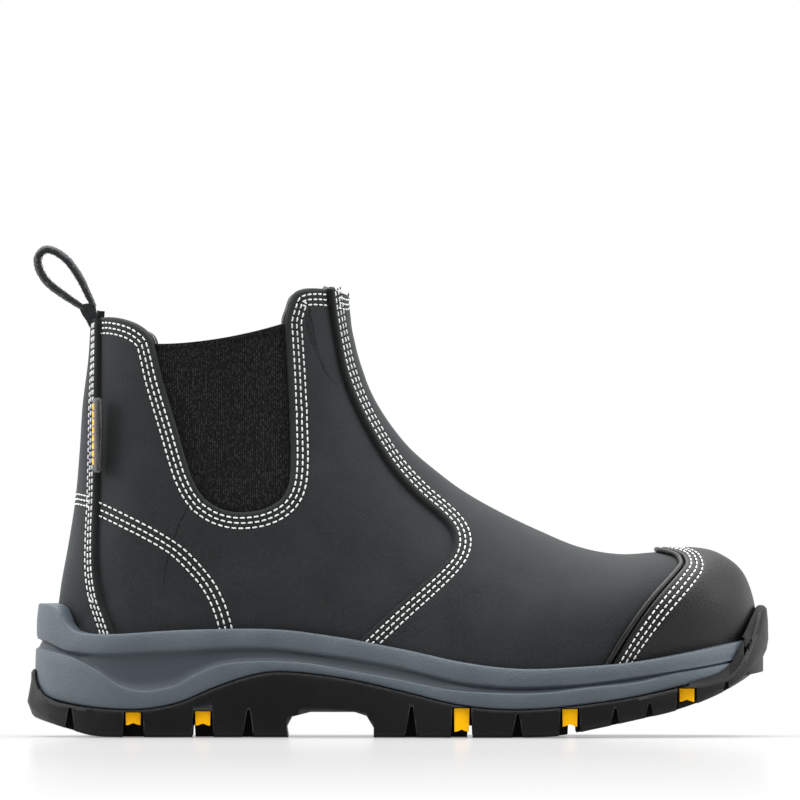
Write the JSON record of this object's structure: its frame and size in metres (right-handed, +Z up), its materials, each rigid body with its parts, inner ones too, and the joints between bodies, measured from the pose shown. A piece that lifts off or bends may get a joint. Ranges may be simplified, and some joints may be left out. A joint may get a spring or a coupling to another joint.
{
  "type": "boot",
  "caption": "Slip-on steel toe work boot, right foot, in charcoal leather with elastic gores, a black scuff cap and a lugged sole",
  "frame": {"origin": "on the ground, below the middle of the boot's bounding box", "axes": "+X towards the toe, +Y towards the medial (inner) side, +Z up"},
  "size_m": [0.312, 0.113, 0.2054],
  "materials": {
    "waxy_leather": "matte charcoal nubuck",
    "coated_leather": "black, coated, fine pebble grain",
    "binding": "black rolled edge",
    "elastic": "black ribbed elastic",
    "webbing": "charcoal strap",
    "lining": "dark knitted lining",
    "midsole_foam": "slate moulded foam, pebble texture",
    "rubber": "black moulded rubber, pebble texture",
    "insert": "orange-yellow rubber",
    "steel": "pressed steel",
    "stiffener": "thermoplastic sheet",
    "foam": "soft strip",
    "board": "fibre board",
    "footbed_foam": "foam under dark cloth",
    "tag": "folded woven tag"
  },
  "bodies": {
    "boot": {"outsole": "rubber", "tread_insert_lateral_1": "insert", "tread_insert_lateral_2": "insert", "tread_insert_lateral_3": "insert", "tread_insert_lateral_4": "insert", "tread_insert_lateral_5": "insert", "tread_insert_medial_1": "insert", "tread_insert_medial_2": "insert", "tread_insert_medial_3": "insert", "tread_insert_medial_4": "insert", "tread_insert_medial_5": "insert", "midsole": "midsole_foam", "puncture_plate": "steel", "insole_board": "board", "footbed": "footbed_foam", "steel_toe_cap": "steel", "toe_cap_edge_strip": "foam", "heel_counter": "stiffener", "vamp_lining": "lining", "lateral_quarter_lining": "lining", "medial_quarter_lining": "lining", "lateral_gore": "elastic", "medial_gore": "elastic", "lateral_quarter": "waxy_leather", "medial_quarter": "waxy_leather", "backstay": "waxy_leather", "vamp": "waxy_leather", "scuff_cap": "coated_leather", "scuff_cap_piping": "binding", "pull_loop_tail": "webbing"},
    "loop": {"pull_loop": "webbing"},
    "tag": {"side_tag": "tag"}
  },
  "joints": [
    {"name": "pull_loop_swing", "type": "hinge", "parent": "boot", "child": "loop", "pos_m": [-0.12955, 0, 0.1794], "axis": [0, 1, 0], "range_deg": [-30, 45]},
    {"name": "side_tag_fold", "type": "hinge", "parent": "boot", "child": "tag", "pos_m": [-0.12621, -0.02117, 0.1264], "axis": [0, 0, 1], "range_deg": [-32, 8]}
  ]
}
